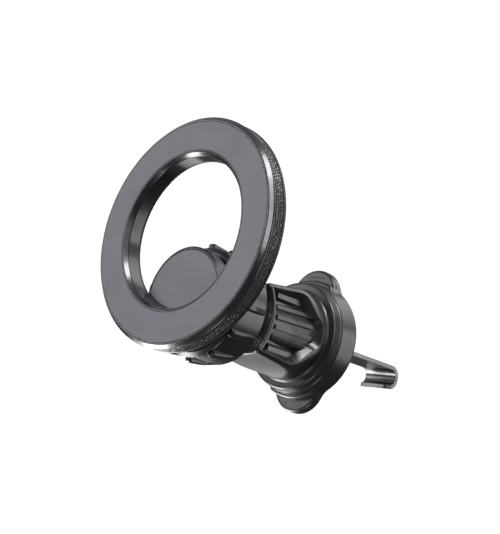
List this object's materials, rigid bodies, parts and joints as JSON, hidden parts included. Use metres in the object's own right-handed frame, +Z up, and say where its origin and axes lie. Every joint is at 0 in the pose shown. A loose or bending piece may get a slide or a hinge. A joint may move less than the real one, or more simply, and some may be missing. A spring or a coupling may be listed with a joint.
{
  "type": "car phone mount",
  "caption": "Car air vent phone mount: magnetic ring head on a ball joint with a ribbed locking nut, a body with finger grips, a winged tightening knob and a steel hook that grips a vent blade.",
  "frame": {"origin": "centre of the vent pad's rear face, on the clip's axis", "axes": "+Y points into the air vent, away from the driver; +Z is up, towards the top of the magnetic ring; +X is to the driver's right"},
  "size_m": [0.061, 0.0944, 0.067],
  "materials": {
    "contact_pad": "fine matt",
    "front_bezel": "glossy",
    "magnet": "nickel plated",
    "plated_steel": "zinc plated",
    "rear_shell": "satin",
    "texture_band": "raised grain",
    "boss_cap": "satin",
    "inner_plastic": "matt",
    "friction_rubber": "matt",
    "liner_plastic": "smooth",
    "locking_nut": "semi-gloss",
    "ball_stud": "smooth turned",
    "grip_housing": "semi-gloss",
    "pressure_plate": "satin",
    "vent_pad": "matt",
    "knob_cap": "semi-gloss",
    "knob_body": "semi-gloss",
    "insert_brass": "turned",
    "hook_steel": "satin"
  },
  "bodies": {
    "clip_body": {"ball_stud": "ball_stud", "stud_nut": "plated_steel", "stud_washer": "plated_steel", "grip_housing": "grip_housing", "guide_tube": "inner_plastic", "guide_screws": "plated_steel", "thrust_washer": "liner_plastic", "retaining_ring": "plated_steel", "pressure_plate": "pressure_plate", "vent_pad": "vent_pad"},
    "ball_cup": {"ball_liner": "liner_plastic"},
    "friction": {"friction_pad": "friction_rubber"},
    "head": {"contact_pad": "contact_pad", "front_bezel": "front_bezel", "magnet_segments": "magnet", "shunt_ring": "plated_steel", "rear_shell": "rear_shell", "texture_band": "texture_band", "boss_cap": "boss_cap", "collet_screws": "plated_steel", "socket_collet": "inner_plastic"},
    "nut": {"locking_nut": "locking_nut"},
    "knob": {"knob_cap": "knob_cap", "knob_body": "knob_body", "thread_insert": "insert_brass", "knob_screws": "plated_steel"},
    "hook": {"vent_hook": "hook_steel", "hook_carrier": "inner_plastic", "hook_pins": "plated_steel"}
  },
  "joints": [
    {"name": "head_pan", "type": "hinge", "parent": "clip_body", "child": "ball_cup", "pos_m": [0, -0.0448, 0], "axis": [0, 0, 1], "range_deg": [-20, 20]},
    {"name": "head_tilt", "type": "hinge", "parent": "ball_cup", "child": "friction", "pos_m": [0, -0.0448, 0], "axis": [1, 0, 0], "range_deg": [-20, 20]},
    {"name": "head_spin", "type": "hinge", "parent": "friction", "child": "head", "pos_m": [0, -0.0448, 0], "axis": [0, 1, 0], "continuous": true},
    {"name": "nut_turn", "type": "hinge", "parent": "head", "child": "nut", "pos_m": [0, -0.0448, 0], "axis": [0, 1, 0], "range_deg": [-150, 30]},
    {"name": "knob_turn", "type": "hinge", "parent": "clip_body", "child": "knob", "pos_m": [0, 0, 0], "axis": [0, 1, 0], "range_deg": [-90, 540]},
    {"name": "hook_slide", "type": "slide", "parent": "clip_body", "child": "hook", "axis": [0, 1, 0], "range_m": [-0.0045, 0.00075]}
  ],
  "couplings": [
    {"joint": "hook_slide", "follows": "knob_turn", "m_per_rad": -0.00047746}
  ]
}
